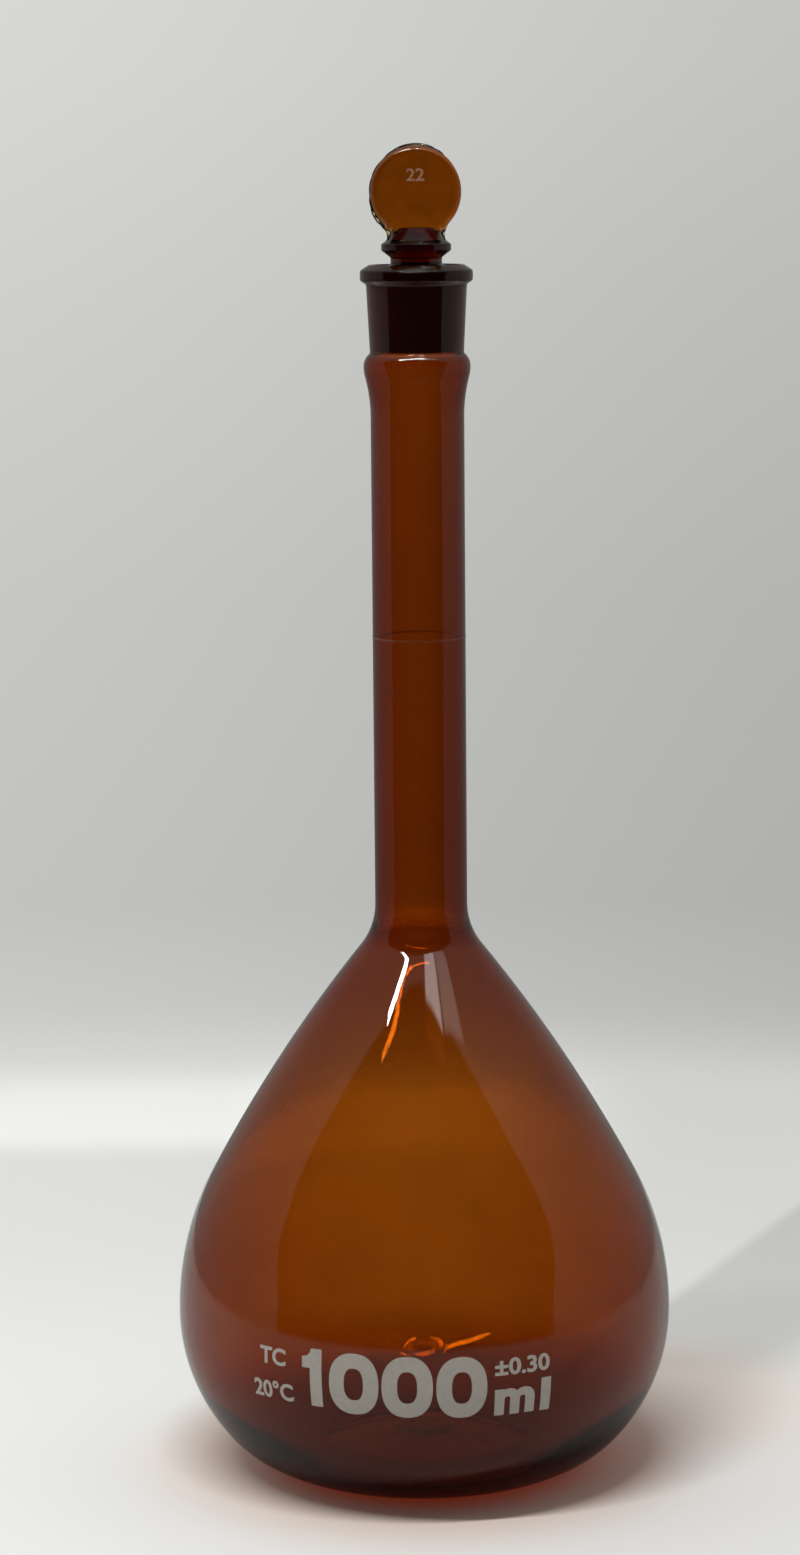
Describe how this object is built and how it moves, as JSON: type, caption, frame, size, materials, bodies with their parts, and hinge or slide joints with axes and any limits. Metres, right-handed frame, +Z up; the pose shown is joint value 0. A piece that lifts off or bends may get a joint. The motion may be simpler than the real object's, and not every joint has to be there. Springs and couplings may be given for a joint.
{
  "type": "volumetric flask",
  "caption": "Amber glass volumetric flask: pear-shaped bulb on a foot ring, long neck with a fired graduation line, flanged ground mouth, and a penny-head stopper that lifts out.",
  "frame": {"origin": "middle of the foot ring, on the bench", "axes": "+Z up the axis of the neck, -Y towards the front face of the grip disc and the printed side of the bulb"},
  "size_m": [0.1264, 0.1264, 0.3363],
  "materials": {
    "amber_glass": "clear amber borosilicate glass, fire polished",
    "ground_amber_glass": "amber glass, ground inside the joint and clear outside",
    "enamel": "fired white enamel",
    "stopper_glass": "pressed amber glass, ground on the plug"
  },
  "bodies": {
    "flask": {"bulb": "amber_glass", "neck_tube": "amber_glass", "mouth_socket": "ground_amber_glass", "graduation_ring": "enamel"},
    "stopper": {"stopper": "stopper_glass"}
  },
  "joints": [
    {"name": "stopper_lift", "type": "slide", "parent": "flask", "child": "stopper", "axis": [0, 0, 1], "range_m": [0, 0.06]}
  ]
}
